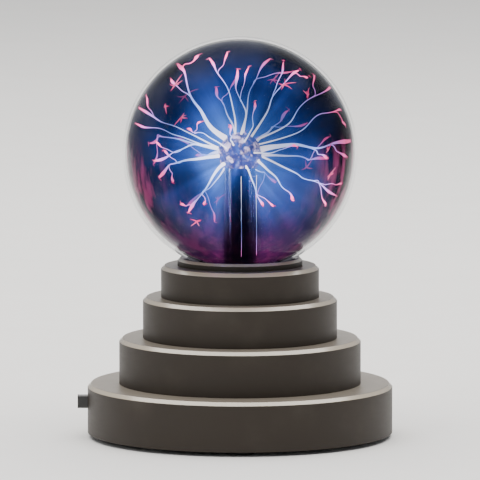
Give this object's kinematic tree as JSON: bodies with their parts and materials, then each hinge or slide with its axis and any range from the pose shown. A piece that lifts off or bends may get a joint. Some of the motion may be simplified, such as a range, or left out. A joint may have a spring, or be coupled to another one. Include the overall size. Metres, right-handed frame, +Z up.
{
  "type": "plasma ball",
  "caption": "Small plasma ball: clear glass globe with a central electrode on a stepped round black base with a side slide switch and a rear USB socket.",
  "frame": {"origin": "on the globe's and base's common axis, in the plane that the rubber feet stand on", "axes": "+Z up along the globe's axis, -Y towards the front, the slide switch on the -X side, the USB socket facing +Y at the back"},
  "size_m": [0.102, 0.0988, 0.1299],
  "materials": {
    "globe_glass": "clear blown soda-lime glass",
    "stem_glass": "clear glass tube",
    "electrode_coating": "graphite coating",
    "sleeve_plastic": "black insulating sleeve",
    "lead_insulation": "silicone insulation",
    "collar_plastic": "satin black moulding",
    "gasket_silicone": "black silicone",
    "adhesive": "cured white silicone",
    "housing_plastic": "satin black ABS moulding",
    "cover_plastic": "spark-textured black ABS",
    "screw_steel": "zinc-plated steel",
    "foot_rubber": "matte rubber",
    "board_laminate": "phenolic paper laminate",
    "ferrite": "sintered ferrite",
    "bobbin_plastic": "black phenolic",
    "copper_wire": "enamelled copper wire",
    "winding_tape": "yellow polyester tape",
    "plated_copper": "tinned copper",
    "component_plastic": "moulded epoxy",
    "heatsink_aluminium": "extruded aluminium",
    "capacitor_sleeve": "shrink sleeve on an aluminium can",
    "film_capacitor_case": "filled plastic box",
    "resistor_lacquer": "beige lacquer",
    "socket_steel": "nickel-plated steel",
    "switch_laminate": "brown phenolic",
    "contact_metal": "silver-plated brass",
    "knob_plastic": "black acetal",
    "black_wire": "PVC insulation",
    "red_wire": "PVC insulation",
    "glowing_gas": "ionised neon and argon, a dim blue glow",
    "discharge_light": "bright threads of ionised gas"
  },
  "bodies": {
    "base": {"globe_glass": "globe_glass", "stem_glass": "stem_glass", "exhaust_tip": "stem_glass", "electrode": "electrode_coating", "stem_sleeve": "sleeve_plastic", "high_voltage_lead": "lead_insulation", "globe_collar": "collar_plastic", "globe_gasket": "gasket_silicone", "neck_adhesive": "adhesive", "base_housing": "housing_plastic", "bottom_cover": "cover_plastic", "cover_screws": "screw_steel", "rubber_feet": "foot_rubber", "circuit_board": "board_laminate", "board_screws": "screw_steel", "core_lower": "ferrite", "core_upper": "ferrite", "bobbin": "bobbin_plastic", "primary_winding": "copper_wire", "secondary_winding": "winding_tape", "transistor_tab": "plated_copper", "transistor_body": "component_plastic", "transistor_legs": "plated_copper", "heatsink": "heatsink_aluminium", "heatsink_screw": "screw_steel", "main_capacitor": "capacitor_sleeve", "small_capacitor": "capacitor_sleeve", "film_capacitor": "film_capacitor_case", "resistors": "resistor_lacquer", "diode": "component_plastic", "component_leads": "plated_copper", "usb_board": "board_laminate", "usb_board_screws": "screw_steel", "usb_shell": "socket_steel", "usb_tongue": "component_plastic", "switch_frame": "socket_steel", "switch_base": "switch_laminate", "switch_terminals": "contact_metal", "ground_wire": "black_wire", "usb_power_wire": "red_wire", "switch_wire": "red_wire"},
    "switch_slider": {"switch_knob": "knob_plastic", "switch_bridge": "contact_metal"}
  },
  "joints": [
    {"name": "switch_slide", "type": "slide", "parent": "base", "child": "switch_slider", "axis": [0, 1, 0], "range_m": [0, 0.004]}
  ]
}
